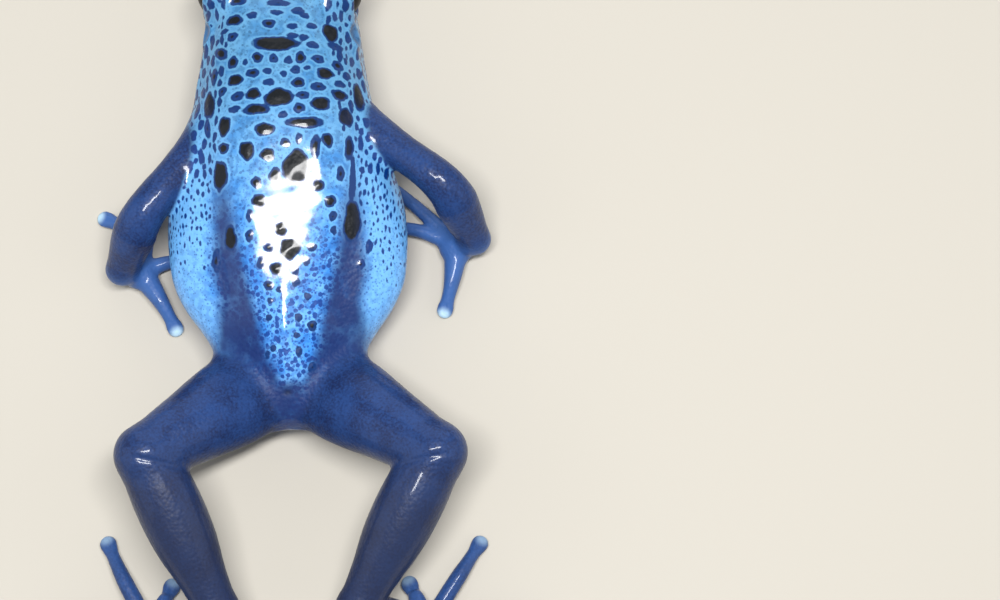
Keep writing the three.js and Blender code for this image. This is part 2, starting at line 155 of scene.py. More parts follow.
# Dark spots of the back as the photo shows them, in its pixels: place, half width, half height
# and, where one lies aslant, its turn in degrees
SPOTS = [
    (238, 1, 8, 5), (278, 3, 12, 4), (329, 11, 8, 5), (234, 21, 8.5, 6), (222, 11, 4, 4.5),
    (252, 15, 5.4, 3.5), (276, 12, 5.5, 3), (298, 11, 7, 4), (305, 16, 4.5, 3), (269, 23, 6, 5),
    (312, 26, 5, 3.5), (293, 26, 5.5, 3), (292, 35, 6, 3), (224, 32, 4, 3), (232, 37, 6, 4.5),
    (331, 33, 8.5, 9, 30), (348, 38, 3.5, 6), (275, 44, 22, 8.5), (312, 45, 6, 4), (304, 38, 5, 3.5),
    (335, 47, 7, 4), (221, 54, 8, 5.5, 40), (233, 62, 5, 7), (258, 57, 5.5, 5.5), (274, 59, 4.5, 4.5),
    (288, 60, 4, 4.5), (301, 58, 5.5, 6), (318, 59, 6, 4.5), (245, 62, 3, 3), (338, 66, 5.5, 5),
    (253, 73, 6, 5), (268, 71, 4, 3.5), (284, 73, 3.5, 3.5), (296, 70, 5, 4), (307, 68, 3, 2.5),
    (325, 74, 8, 6.5), (235, 80, 7.5, 6.5), (214, 77, 3.5, 9), (269, 82, 6, 3.5), (299, 83, 6.5, 5.5),
    (318, 87, 7, 4.5), (340, 84, 5.5, 3.5), (347, 76, 4, 4), (222, 92, 4.5, 4.5), (209, 106, 6, 14),
    (237, 96, 7, 4.5), (253, 94, 7, 6.5), (278, 97, 15, 9.5), (302, 95, 6, 4.5), (321, 103, 10, 7),
    (340, 95, 7.5, 6), (358, 98, 4.5, 16, -15), (256, 109, 13, 6), (234, 109, 6, 3.5),
    (282, 114, 4.5, 3.5), (300, 108, 6, 5), (346, 118, 6.5, 10), (224, 126, 6.5, 10), (265, 130, 9.5, 7),
    (305, 123, 18, 6), (224, 148, 5, 6), (247, 150, 8, 9.5), (268, 154, 7, 7), (285, 143, 5, 5),
    (299, 138, 3.5, 5.5), (328, 140, 5.5, 7.5), (315, 147, 5, 12), (349, 147, 4.5, 12),
    (296, 167, 13, 18), (220, 176, 7, 16), (275, 175, 6, 8), (256, 182, 5.5, 6), (318, 185, 6.5, 6),
    (341, 173, 4, 7), (352, 221, 9, 20), (353, 180, 3, 24), (230, 238, 6.5, 12.5), (216, 261, 4.5, 11),
    (259, 201, 8, 6.5), (249, 215, 3.5, 6), (249, 235, 4.5, 6), (330, 201, 5.5, 6.5), (333, 216, 4, 5),
    (334, 231, 3, 4), (281, 229, 7, 7), (290, 249, 10.5, 11.5), (268, 247, 5, 5), (312, 248, 4.5, 4.5),
    (261, 262, 4.5, 6.5), (276, 269, 6.5, 6.5), (306, 261, 4, 5), (295, 270, 4, 5), (296, 281, 4, 6),
    (268, 286, 5, 5), (369, 246, 3.5, 6.5), (361, 264, 4.5, 5), (279, 289, 3.5, 3), (307, 296, 3.5, 3.5),
    (270, 301, 3, 3), (298, 317, 3.5, 4), (269, 318, 3.5, 3), (313, 325, 5, 5), (296, 335, 3, 3),
    (299, 351, 3.5, 5), (274, 349, 3, 3), (267, 355, 2.5, 4), (312, 367, 4, 5),
]

# Uneven edge of a spot, as sizes and numbers of lobes
SPOT_LOBES = ((0.07, 2), (0.06, 3), (0.04, 5))

# Black core of a spot: how far inside its edge, how much further in a small spot, how much duller
CORE_INSET, CORE_FULL, CORE_LOSS, CORE_DULL, CORE_EDGE = 0.10, 0.55, 0.9, 0.45, (0.05, -0.1)

# Height of a spot over the skin, and the skin's own small waves
SPOT_RISE, SPOT_DOME = 0.10, (0.08, -1.1)
WAVE_LENGTHS = (0.9, 1.0, 1.2, 1.3, 1.5, 1.7, 2.0, 2.4)
WAVE_HEIGHT = 0.0014

# Further spots: radii, gap, tries and greatest length, where they are drawn out along the frog
FACE_SPOTS = ((0.35, 0.75), 0.26, 4000, 0.0)
FLANK_SPOTS = ((0.18, 0.38), 0.14, 9000, 2.4)
FLANK_SPECKS = ((0.1, 0.2), 0.12, 12000, 2.4)
THROAT_SPOTS = ((0.4, 0.9), 0.7, 2500, 0.0)
# Places along y and the share of its size that such a spot has there
SPOT_FADE = ([6.0, 14.0, 22.0], [0.35, 0.6, 1.0])

# Edges of the dark bands along the back: places along y, and distances from the middle
BAND_SHIFT = 0.35
BAND_INNER = ([0.5, 3.5, 5.2, 7.6, 10.2, 12.4, 15.0, 18.0], [0.9, 2.25, 2.6, 3.2, 3.9, 4.3, 4.7, 5.2])
BAND_OUTER = ([0.0, 4.0, 7.6, 10.2, 12.0, 18.0], [6.8, 6.4, 6.0, 6.5, 6.3, 6.1])

# Ends of the changes from one colour to the next, in millimetres
LIMB_EDGE, FACE_EDGE, BAND_FADE = (0.10, 0.55), (29.5, 30.5), (13.5, 20)
LOW_END, NAPE_START, SHIN_ALONG = (9, 17), (7, 29), (-12.5, -1.5)
DIGIT_EDGE, PAD_EDGE = (2, 6), (0.3, 1.0)
# Reach and share of the lighter blue round palm and sole, and its share on a toe
PALM_BLUE, SOLE_BLUE, TOE_SHARE = (5.0, 1.0), (9.0, 0.25), 0.4

# Colours, as sRGB shares
SKY = (0.42, 0.68, 0.925)
SKY_DEEP = (0.19, 0.50, 0.83)
BAND = (0.08, 0.165, 0.37)
LIMB_BLUE = (0.125, 0.235, 0.44)
LIMB_DARK = (0.08, 0.135, 0.285)
SHIN_GRAY = (0.135, 0.16, 0.25)
HAND_BLUE = (0.22, 0.36, 0.59)
PAD_PALE = (0.68, 0.80, 0.88)
BELLY_BLUE = (0.17, 0.38, 0.74)
# Black of the spots' cores, also used as painted shade in nostrils, mouth line and vent
SPOT_AND_SHADE_DARK = (0.050, 0.065, 0.085)
SPOT_RIM = (0.01, 0.175, 0.39)
SPECK_BLUE = (0.01, 0.205, 0.51)
NAPE_TEAL = (0.25, 0.42, 0.40)
MOTTLE_BLUE = (0.12, 0.34, 0.63)
EYE_DARK, EYE_BROWN, EYE_EDGE = (0.05, 0.035, 0.03), (0.14, 0.09, 0.05), (0.03, 0.03, 0.05)
PUPIL_RIM, PUPIL_BLACK = (0.20, 0.14, 0.08), (0.004, 0.004, 0.005)
FLOOR_PAINT = (0.72, 0.70, 0.66)

# Wet coat over the skin: its share, its loss on a limb, and its roughness
GLOSS, LIMB_DULL, COAT_ROUGHNESS = 0.62, 0.45, 0.1

# Lamps in metres and watts: name, place, aim, sizes and power
LIGHTS = [
    ("key", (0.012, -0.023, 0.30), (0, 0.006, 0.01), (0.19, 0.04), 1.22),
    ("soft_front", (0.05, 0.60, 0.30), (0, 0, 0), (0.9, 0.5), 1.0),
    ("soft_left", (-0.60, -0.10, 0.30), (0, 0, 0.005), (0.7, 0.5), 0.65),
    ("soft_right", (0.60, -0.02, 0.30), (0, 0, 0.005), (0.7, 0.5), 0.65),
]
WORLD_COLOR, WORLD_STRENGTH = (0.95, 0.98, 1.0, 1.0), 0.34
FLOOR_SIZE, FLOOR_DROP = 4.0, 0.00002


def linear(color):
    """sRGB shares as the linear RGBA that a shader takes"""
    low = [c / 12.92 if c <= 0.04045 else ((c + 0.055) / 1.055) ** 2.4 for c in color]
    return (*low, 1.0)


def rise(start, end, value):
    """Smooth change from 0 at start to 1 at end"""
    t = np.clip((value - start) / (end - start), 0, 1)
    return t * t * (3 - 2 * t)


def fall(start, end, value):
    return 1 - rise(start, end, value)


def magnitude(*parts):
    """Length of a vector with these parts"""
    return np.sqrt(sum(part**2 for part in parts))


def unit(vector):
    return vector / np.linalg.norm(vector)


def dot(parts, way):
    return sum(part * step for part, step in zip(parts, way))


def smooth_rows(rows, places, column):
    """The smooth curve through one column of rows, at places along their first column"""
    knots = np.array([row[0] for row in rows], float)
    values = np.array([row[column] for row in rows], float)
    last = len(rows) - 1
    i = np.clip(np.searchsorted(knots, places, side="left") - 1, 0, last - 1)
    before, after = np.maximum(i - 1, 0), np.minimum(i + 2, last)
    step = knots[i + 1] - knots[i]
    slope_in = (values[i + 1] - values[before]) / (knots[i + 1] - knots[before]) * step
    slope_out = (values[after] - values[i]) / (knots[after] - knots[i]) * step
    t = np.clip((places - knots[i]) / step, 0, 1)
    start, end = values[i], values[i + 1]
    bend = (2 * start - 2 * end + slope_in + slope_out) * t**3
    return bend + (3 * end - 3 * start - 2 * slope_in - slope_out) * t**2 + slope_in * t + start


def body_sizes(y, *columns):
    """The body's sizes at places y, one array for each column of its table"""
    return [smooth_rows(BODY, y, column) for column in columns]


def eye_middle():
    """Point midway between the eyes"""
    return np.array([body_sizes(np.array([EYE_Y]), 1)[0][0], EYE_Y, EYE_HEIGHT])


def frame_shift():
    """How far the frame's origin, the middle of the footprint, is from this one, by the eyes"""
    corners = [np.array(corner) for side in ("left", "right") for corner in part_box(f"eye_{side}")]
    return sum(corners) / len(corners) * 1000 - eye_middle()


SHIFT = frame_shift()


def to_frame(points):
    """Millimetres here to metres in the frame"""
    return (np.asarray(points, float) + SHIFT) / 1000


# Distance field of the skin, on one grid of points
class Field:
    """Signed distances, negative inside, joined smoothly block by block"""

    def __init__(self):
        counts = np.ceil((GRID_HIGH - GRID_LOW) / STEP).astype(int) + 1
        self.axes = [(GRID_LOW[i] + STEP * np.arange(counts[i])).astype(np.float32) for i in range(3)]
        self.values = np.full(counts, FAR, np.float32)

    def block(self, low, high):
        """Slices that hold a box, and the grid's points there as broadcasting arrays"""
        cuts = []
        for start, end, origin in zip(low, high, GRID_LOW):
            first = max(math.floor((start - origin) / STEP), 0)
            cuts.append(slice(first, math.ceil((end - origin) / STEP) + 1))
        x, y, z = (self.axes[i][cuts[i]] for i in range(3))
        return tuple(cuts), x[:, None, None], y[None, :, None], z[None, None, :]

    def join(self, cuts, distance, blend):
        self.values[cuts] = smooth_min(self.values[cuts], distance.astype(np.float32), blend)


def smooth_min(a, b, blend):
    near = np.maximum(blend - np.abs(a - b), 0)
    return np.minimum(a, b) - near * near / (4 * blend)


def smooth_max(a, b, blend):
    return -smooth_min(-a, -b, blend)


def hump(distance, width):
    """A soft bump that is 1 in the middle"""
    return np.exp(-((distance / width) ** 2))


def relief(shape, distance):
    """Change of the surface at a distance from the middle of a groove or ridge"""
    depth, width = shape
    return depth * hump(distance, width)


def body_distance(x, y, z):
    """Distance to the outline of head, trunk and rump, before their folds"""
    sizes = (size[None, :, None].astype(np.float32) for size in body_sizes(y.ravel(), *range(1, 7)))
    mid, half, top, widest, bottom, square = sizes
    across = np.abs(x - mid) / half
    upper = z >= widest
    height = np.where(upper, (z - widest) / (top - widest), (widest - z) / (widest - bottom))
    power = np.where(upper, square, BELLY_POWER)
    level = (across**power + height**power) ** (1 / power)
    slope_x, slope_y, slope_z = np.gradient(level, STEP)
    steep = np.maximum(magnitude(slope_x, slope_z), 0.02)
    lean = slope_y / (steep * np.maximum(level, 0.5))
    distance = (level - 1) / (steep * np.sqrt(1 + lean * lean))
    ends = np.maximum(y - BODY[-1][0], BODY[0][0] - y)
    return smooth_max(np.clip(distance, -FAR, FAR), ends + 0 * distance, 0.8)


def body_folds(x, y, z):
    """Relief of the body: ridge and grooves of the back, flanks, crown, nape and neck folds"""
    mid, top, widest = (size[None, :, None] for size in body_sizes(y.ravel(), 1, 3, 4))
    side = np.abs(x - mid)
    back = rise(0.3, 0.7, (z - widest) / (top - widest))
    along = rise(-1, 4, y) * fall(19, 27, y)
    ridge_width = 2.3 + 0.16 * np.clip(y, 0, 19)
    groove = relief(GROOVE, side - ridge_width - 1.2) * along * back
    spine = (relief(SPINE, side) + relief(SPINE_CREST, side)) * fall(4, 14, y) * back
    plateau = relief(PLATEAU, side) * rise(5, 15, y) * fall(19, 24, y) * back
    tail = 0.3 * fall(-1, 5.5, y) * back
    flank = relief(FLANK, z - 5.4) * rise(5, 9, y) * fall(20, 25, y)
    crown = relief(CROWN, side) * hump(y - 35.5, 2.6) * back
    nape = relief(NAPE, side) * hump(y - 30.5, 1.6) * back
    fold_z = 8.2 - 0.16 * (32.5 - y)
    fold = relief(NECK_FOLD, z - fold_z) * rise(23.5, 27, y) * fall(31.5, 33, y)
    return groove + spine + plateau + tail + flank + crown + nape + fold * rise(4, 5.5, side)


def segment_frame(x, y, z, start, end):
    """Where points lie beside a segment: share of its length, across, above and beyond its ends"""
    length = np.linalg.norm(end - start)
    ahead = (end - start) / length
    side = unit(np.cross(ahead, (0, 0, 1)))
    parts = (x - start[0], y - start[1], z - start[2])
    place, across, above = (dot(parts, way) for way in (ahead, side, np.cross(side, ahead)))
    share = np.clip(place / length, 0, 1)
    return share, across, above, place - share * length


def oval_distance(across, above, beyond, half_width, half_height):
    """Distance to an oval section, which a round cap ends"""
    level = magnitude(across / half_width, above / half_height, beyond / half_width)
    slope = magnitude(across / half_width**2, above / half_height**2, beyond / half_width**2)
    distance = (level - 1) * level / np.maximum(slope, 1e-4)
    return np.maximum(distance, -np.minimum(half_width, half_height))


def segment_distance(x, y, z, start, end, sizes):
    """Distance to a limb segment with round ends and oval sections"""
    share, across, above, beyond = segment_frame(x, y, z, np.array(start, float), np.array(end, float))
    fine = np.linspace(0, 1, 65)
    halves = (np.interp(share, fine, smooth_rows(sizes, fine, column) / 2) for column in (1, 2))
    return oval_distance(across, above, beyond, *halves)


def add_segment(field, start, end, sizes, blend):
    reach = max(max(row[1], row[2]) for row in sizes) / 2 + 1.6
    cuts, x, y, z = field.block(np.minimum(start, end) - reach, np.maximum(start, end) + reach)
    field.join(cuts, segment_distance(x, y, z, start, end, sizes), blend)


def digit_knots(root, tip, sizes):
    """Centres and thicknesses along a finger or toe: place, width, height and level"""
    way = tip[:2] - root[:2]
    length = math.hypot(*way)
    way = way / length
    side = (-way[1], way[0])
    neck, disc = sizes["neck"], sizes["disc"]
    rows = [
        (0, sizes["base"], sizes["base"] * ROUND_SHARE, root[2]),
        (length * 0.5, sizes["middle"], sizes["middle"], sizes["middle"] / 2 + sizes["arch"]),
        (length - NECK_PLACE * DISC_LENGTH, neck, neck * ROUND_SHARE, neck / 2 + NECK_LIFT),
        (length - DISC_LENGTH, disc, disc * DISC_SHARE, disc * DISC_LEVEL),
        (length, *TIP, disc * TIP_LEVEL),
    ]
    places = np.linspace(0, length - DISC_LENGTH, DIGIT_KNOTS)
    centers = np.zeros((len(places), 3))
    part = places / length
    for i in range(2):
        centers[:, i] = root[i] + way[i] * places + side[i] * tip[2] * 4 * part * (1 - part)
    centers[:, 2] = smooth_rows(rows, places, 3)
    return centers, smooth_rows(rows, places, 1), smooth_rows(rows, places, 2)


def chain_distance(x, y, z, centers, widths, heights):
    """Distance to a limb that follows a row of points, taken at the nearest place along it"""
    shape = np.broadcast_shapes(x.shape, y.shape, z.shape)
    nearest = np.full(shape, np.inf)
    found = [np.zeros(shape) for _ in range(5)]
    for i in range(len(centers) - 1):
        share, across, above, beyond = segment_frame(x, y, z, centers[i], centers[i + 1])
        gap = across**2 + above**2 + beyond**2
        closer = gap < nearest
        nearest = np.where(closer, gap, nearest)
        halves = ((size[i] + (size[i + 1] - size[i]) * share) / 2 for size in (widths, heights))
        values = (across, above, beyond, *halves)
        found = [np.where(closer, new, old) for new, old in zip(values, found)]
    return oval_distance(*found)


def chain_block(field, centers, widths, heights):
    """The grid's block round a chain, with the distance to it"""
    reach = max(widths) / 2 + 1.8
    cuts, x, y, z = field.block(centers.min(axis=0) - reach, centers.max(axis=0) + reach)
    return cuts, x, y, z, chain_distance(x, y, z, centers, widths, heights)


def add_digit(field, root, tip, sizes, blend):
    centers, widths, heights = digit_knots(root, tip, sizes)
    cuts, x, y, z, chain = chain_block(field, centers, widths, heights)
    along = unit(tip[:2] - centers[-3, :2])
    across, ahead = x - centers[-1, 0], y - centers[-1, 1]
    forward = across * along[0] + ahead * along[1]
    sideways = ahead * along[0] - across * along[1]
    middle = rise(-0.7, -0.3, forward) * rise(0.45, 0.7, z)
    field.join(cuts, chain + relief(PAD_GROOVE, sideways) * middle, blend)


def arm_knots(shoulder, elbow, wrist):
    """Centres and thicknesses along the arm, which bends round the elbow in a curve"""
    before = elbow + (shoulder - elbow) * ELBOW_ROUND
    after = elbow + (wrist - elbow) * ELBOW_ROUND
    upper, turn, lower = (np.linspace(0, 1, count) for count in ARM_KNOTS)
    turn, lower = turn[1:], lower[1:]
    curve = [before * (1 - t) ** 2 + elbow * 2 * t * (1 - t) + after * t * t for t in turn]
    centers = [shoulder + (before - shoulder) * t for t in upper] + curve
    centers += [after + (wrist - after) * t for t in lower]
    sizes = []
    for column in (1, 2):
        first = smooth_rows(UPPER_ARM, upper * (1 - ELBOW_ROUND), column)
        final = smooth_rows(FOREARM, ELBOW_ROUND + lower * (1 - ELBOW_ROUND), column)
        entry = float(smooth_rows(FOREARM, np.array([ELBOW_ROUND]), column)[0])
        sizes.append(np.concatenate([first, first[-1] + (entry - first[-1]) * turn, final]))
    return np.array(centers), *sizes


def pad_point(values, depth):
    return np.array([*values[:2], depth])


def foot_frame(pose):
    """The sole's middle, the way the foot points, and across it towards the frog's front"""
    sole = pad_point(pose["sole"], SOLE_DEPTH)
    axis = unit(pad_point(pose["toes"][3], SOLE_DEPTH) - sole)
    across = np.array([-axis[1], axis[0], 0])
    return sole, axis, across * np.sign(across[1])


def add_arm(field, pose):
    shoulder, elbow, wrist = (np.array(pose[name], float) for name in ("shoulder", "elbow", "wrist"))
    palm = pad_point(pose["palm"], PALM_DEPTH)
    cuts, _, _, _, chain = chain_block(field, *arm_knots(shoulder, elbow, wrist))
    field.join(cuts, chain, BLEND["arm"])
    stem = [(0, PALM_STEM, PALM_STEM), (1, PALM_STEM, PALM_STEM * 0.8)]
    add_segment(field, wrist, palm, stem, BLEND["stem"])
    pad = [(place, 2 * PALM_RADIUS, 2 * PALM_HEIGHT) for place in (0, 1)]
    add_segment(field, palm - (0.05, 0, 0), palm + (0.05, 0, 0), pad, BLEND["palm"])
    for tip, base, middle in zip(pose["fingers"], FINGER_BASES, FINGER_MIDDLES):
        add_digit(field, palm, tip, {**FINGER, "base": base, "middle": middle}, BLEND["finger"])


def add_leg(field, pose):
    hip, knee, heel = (np.array(pose[name], float) for name in ("hip", "knee", "heel"))
    sole, axis, across = foot_frame(pose)
    add_segment(field, hip, knee, THIGH, BLEND["thigh"])
    add_segment(field, knee, heel, SHANK, BLEND["shank"])
    add_segment(field, heel, sole, TARSUS, BLEND["shank"])
    add_segment(field, sole, sole + axis * FOOT_LENGTH, FOOT, BLEND["foot"])
    for (forward, sideways), tip in zip(TOE_ROOTS, pose["toes"]):
        add_digit(field, sole + axis * forward + across * sideways, tip, TOE, BLEND["foot"])


def eye_frame(sign):
    """Centre of an eye and its look, forward and up directions"""
    center = eye_middle() + (sign * EYE_OFFSET, 0, 0)
    look = unit(np.array(EYE_LOOK) * (sign, 1, 1))
    forward = unit(np.cross((0, 0, 1), look) * -sign)
    up = np.cross(look, forward) * -sign
    return center, look, forward, up * np.sign(up[2])


def add_eyelids(field, sign):
    """Brow and lids: a shell round the eyeball with an oval opening where the eye looks out"""
    center, look, forward, up = eye_frame(sign)
    reach = EYE_RADIUS + 2.2
    cuts, x, y, z = field.block(center - reach, center + reach)
    offsets = (x - center[0], y - center[1], z - center[2])
    radius = magnitude(*offsets) + 1e-6
    ahead, fore, high = (dot(offsets, way) / radius for way in (look, forward, up))
    oval = magnitude(fore / LID_OPENING[0], (high - LID_DROP) / LID_OPENING[1])
    opening = np.where(ahead > 0, (oval - 1) * LID_OPENING[1], 1.0) * EYE_RADIUS
    shell = np.abs(radius - EYE_RADIUS - LID_THICKNESS * 0.45) - LID_THICKNESS * 0.55
    lids = smooth_max(shell, -opening, 0.25)
    here = smooth_min(field.values[cuts], lids, 0.9)
    here = smooth_max(here, -np.maximum(opening, radius - EYE_RADIUS - 1.8), 0.22)
    field.values[cuts] = np.maximum(here, EYE_RADIUS + 0.02 - radius)


def mouth_level(y):
    """The mouth line rises to the snout and dips a little before the corner of the jaw"""
    return MOUTH_HEIGHT + 0.25 * rise(37, 42.5, y) - 0.25 * hump(y - 33.5, 1.6)


def body_point(y, sign, turn, share=1.0):
    """Point at a share of the way out to the body's outline, turned up from its widest level"""
    sizes = body_sizes(np.array([y]), 1, 2, 3, 4, 6)
    mid, half, top, widest, square = (float(size[0]) for size in sizes)
    across = share * math.cos(math.radians(turn)) ** (2 / square)
    height = share * math.sin(math.radians(turn)) ** (2 / square)
    return np.array([mid + sign * half * across, y, widest + (top - widest) * height])


def nostril(sign):
    return body_point(NOSTRIL_Y, sign, NOSTRIL_TURN, NOSTRIL_SHARE)


def gap_from(center, x, y, z, squeeze_y=1.0, squeeze_z=1.0):
    """Distance to a point, where a dip round it is squeezed along y and z"""
    return magnitude(x - center[0], (y - center[1]) * squeeze_y, (z - center[2]) * squeeze_z)


def add_face(field):
    """Mouth line, nostrils and eardrums"""
    cuts, x, y, z = field.block((-9.5, 29.0, 0.5), (7.5, 44.0, 8.5))
    ahead = rise(*JAW_START, y)
    line = z - mouth_level(y)
    here = field.values[cuts] + relief(MOUTH_SLIT, line) * ahead
    here = here + relief(LIP, line - 0.55) * ahead + 0.12 * rise(0.1, -0.2, line) * ahead
    for sign in (-1, 1):
        gap = gap_from(nostril(sign), x, y, z, 0.75)
        here = here + relief(NOSTRIL_RIM, gap - 0.5)
        here = smooth_max(here, NOSTRIL_RADIUS - gap, 0.12)
        gap = gap_from(body_point(EAR_Y, sign, EAR_TURN), x, y, z)
        here = here + relief(EAR_DISH, gap) + relief(EAR_RIM, gap - EAR_RADIUS)
    field.values[cuts] = here


def add_knee_crease(field, knee):
    """Fold behind a knee, where the thigh's skin lies over the shank"""
    knee = np.array(knee)
    inward = -np.sign(knee[0])
    start, end = (np.array([knee[0] + inward * across, knee[1] + ahead]) for across, ahead in KNEE_CREASE)
    length = np.linalg.norm(end - start)
    way = (end - start) / length
    cuts, x, y, z = field.block(knee - (4.5, 4.5, 2), knee + (4.5, 2.5, 4))
    along = (x - start[0]) * way[0] + (y - start[1]) * way[1]
    above = ((x - start[0]) * way[1] - (y - start[1]) * way[0]) * inward
    fade = rise(-0.8, 0.4, along) * fall(length - 1.5, length + 0.8, along)
    fade = fade * rise(knee[2] - 1.5, knee[2] + 0.5, z)
    step = 0.05 * rise(0.15, -0.25, above) * fall(0.5, 3.5, -above)
    field.values[cuts] += (relief(KNEE_FOLD, above) + step) * fade


def add_vent(field):
    """Small dip at the vent"""
    cuts, x, y, z = field.block(np.array(VENT) - 2.5, np.array(VENT) + 2.5)
    field.values[cuts] += relief(VENT_DIP, gap_from(VENT, x, y, z, 1.7, 0.5))


def skin_field():
    """Field of the whole skin, and the field of the body alone"""
    field = Field()
    cuts, x, y, z = field.block((-13, -7, -0.7), (12, 44.5, 12.9))
    body = body_distance(x, y, z) + body_folds(x, y, z)
    field.join(cuts, body, 0.1)
    body_only = np.full_like(field.values, FAR)
    body_only[cuts] = body
    for pose in POSE.values():
        add_leg(field, pose)
        add_arm(field, pose)
        add_knee_crease(field, pose["knee"])
    for sign in (-1, 1):
        add_eyelids(field, sign)
    add_face(field)
    add_vent(field)
    field.values[:] = smooth_max(field.values, -field.axes[2], 0.12)
    return field, body_only


# Surface of a field as a mesh of quads
CORNERS = [(i, j, k) for i in (0, 1) for j in (0, 1) for k in (0, 1)]
EDGES = [
    (a, b)
    for n, a in enumerate(CORNERS)
    for b in CORNERS[n + 1 :]
    if sum(abs(p - q) for p, q in zip(a, b)) == 1
]


def corner_view(values, corner):
    """The grid's value at one corner of every cell"""
    return values[tuple(slice(c, count - 1 + c) for c, count in zip(corner, values.shape))]


def surface_cells(values):
    inside = values < 0
    count = sum(corner_view(inside, corner).astype(np.uint8) for corner in CORNERS)
    return np.argwhere((count > 0) & (count < 8))


def cell_points(values, cells):
    """Mean of the places where the surface crosses each cell's edges"""
    total = np.zeros((len(cells), 3))
    crossings = np.zeros(len(cells))
    for a, b in EDGES:
        start, end = (values[tuple((cells + corner).T)] for corner in (a, b))
        crossed = (start < 0) != (end < 0)
        t = np.where(crossed, start / np.where(crossed, start - end, 1), 0)
        total += crossed[:, None] * (np.array(a) + t[:, None] * (np.array(b) - np.array(a)))
        crossings += crossed
    return cells + total / crossings[:, None]


def surface_quads(values, cells):
    """One quad round each grid edge that the surface crosses, facing out"""
    index = np.full(np.array(values.shape) - 1, -1, np.int32)
    index[tuple(cells.T)] = np.arange(len(cells))
    inside = values < 0
    steps = np.eye(3, dtype=int)
    quads = []
    for axis in range(3):
        u, v = steps[(axis + 1) % 3], steps[(axis + 2) % 3]
        near, far = [slice(1, -1)] * 3, [slice(1, -1)] * 3
        near[axis], far[axis] = slice(0, -1), slice(1, None)
        start, end = inside[tuple(near)], inside[tuple(far)]
        for found, outward in ((start & ~end, True), (end & ~start, False)):
            places = np.argwhere(found)
            ring = [places, places + u, places + u + v, places + v]
            quad = np.stack([index[tuple(corner.T)] for corner in ring], 1)
            quads.append(quad if outward else quad[:, ::-1])
    return np.concatenate(quads)


def sample(values, points):
    """Trilinear value of the grid at points in grid units"""
    limit = np.array(values.shape) - 2
    cell = np.clip(np.floor(points).astype(int), 0, limit)
    part = points - cell
    total = np.zeros(len(points))
    for corner in CORNERS:
        weight = np.prod(np.where(corner, part, 1 - part), axis=1)
        total += weight * values[tuple((cell + corner).T)]
    return total


def slope_at(values, points):
    steps = np.eye(3) * SLOPE_REACH
    slopes = [sample(values, points + step) - sample(values, points - step) for step in steps]
    return np.stack(slopes, 1) / (2 * SLOPE_REACH)


def settle(values, points):
    """Moves points onto the surface where the field is zero"""
    for _ in range(SETTLE_STEPS):
        slope = slope_at(values, points)
        steep = np.maximum((slope * slope).sum(1), 1e-6)
        move = -sample(values, points)[:, None] * slope / steep[:, None]
        points = points + np.clip(move, -SETTLE_LIMIT, SETTLE_LIMIT)
    return points


def field_surface(field):
    """Points on the grid and in millimetres, quads and outward normals of a field's surface,
    in order along the frog for quick searches"""
    cells = surface_cells(field.values)
    quads = surface_quads(field.values, cells)
    grid_points = settle(field.values, cell_points(field.values, cells))
    slope = slope_at(field.values, grid_points)
    normals = slope / np.maximum(np.linalg.norm(slope, axis=1), 1e-9)[:, None]
    points = grid_points * STEP + GRID_LOW
    order = np.argsort(points[:, 1])
    return grid_points[order], points[order], np.argsort(order)[quads], normals[order]


# Where the photo's camera sees a point, and the spots laid on the skin there
def camera_frame():
    """The camera's place, and the directions ahead and up from it"""
    c, s = math.cos(CAMERA_ELEVATION), math.sin(CAMERA_ELEVATION)
    ahead, up = np.array([0, c, -s]), np.array([0, s, c])
    return np.array(CAMERA_TARGET) - CAMERA_DISTANCE * ahead, ahead, up


def photo_place(points):
    eye, ahead, up = camera_frame()
    offsets = points - eye
    depth = offsets @ ahead
    focal = IMAGE_WIDTH * LENS_MM / SENSOR_MM
    return (
        IMAGE_WIDTH / 2 + focal * offsets[:, 0] / depth,
        IMAGE_HEIGHT / 2 - focal * (offsets @ up) / depth,
        focal / depth,
    )


def tangent_axes(normal, turn):
    """Two unit directions on the surface, the first along X before the turn"""
    first = np.array([1.0, 0, 0]) - normal * normal[0]
    first /= max(np.linalg.norm(first), 1e-6)
    second = np.cross(normal, first)
    c, s = math.cos(turn), math.sin(turn)
    return first * c + second * s, second * c - first * s


def stamp_spot(marks, points, spot, rng):
    """Adds one rounded, slightly uneven spot to the marks, which are the distances to the
    nearest spot's edge and to the edge of its black core; points are sorted by y"""
    center, normal, radii, turn = spot
    reach = max(radii) * 1.4 + 0.9
    first, last = np.searchsorted(points[:, 1], (center[1] - reach, center[1] + reach))
    near = first + np.flatnonzero(((points[first:last] - center) ** 2).sum(1) < reach * reach)
    offsets = points[near] - center
    wide, tall = tangent_axes(normal, turn)
    a, b = offsets @ wide / radii[0], offsets @ tall / radii[1]
    depth = offsets @ normal / max(radii)
    around = np.arctan2(b, a)
    phases = rng.uniform(0, 2 * math.pi, len(SPOT_LOBES))
    lobes = zip(SPOT_LOBES, phases)
    uneven = 1 + sum(size * np.sin(count * around + phase) for (size, count), phase in lobes)
    level = np.sqrt(a * a + b * b + 0.5 * depth * depth) / uneven - 1
    edge = level * min(radii)
    marks[0][near] = np.minimum(marks[0][near], edge)
    core = edge + CORE_INSET + CORE_LOSS * max(CORE_FULL - min(radii), 0)
    marks[1][near] = np.minimum(marks[1][near], core)


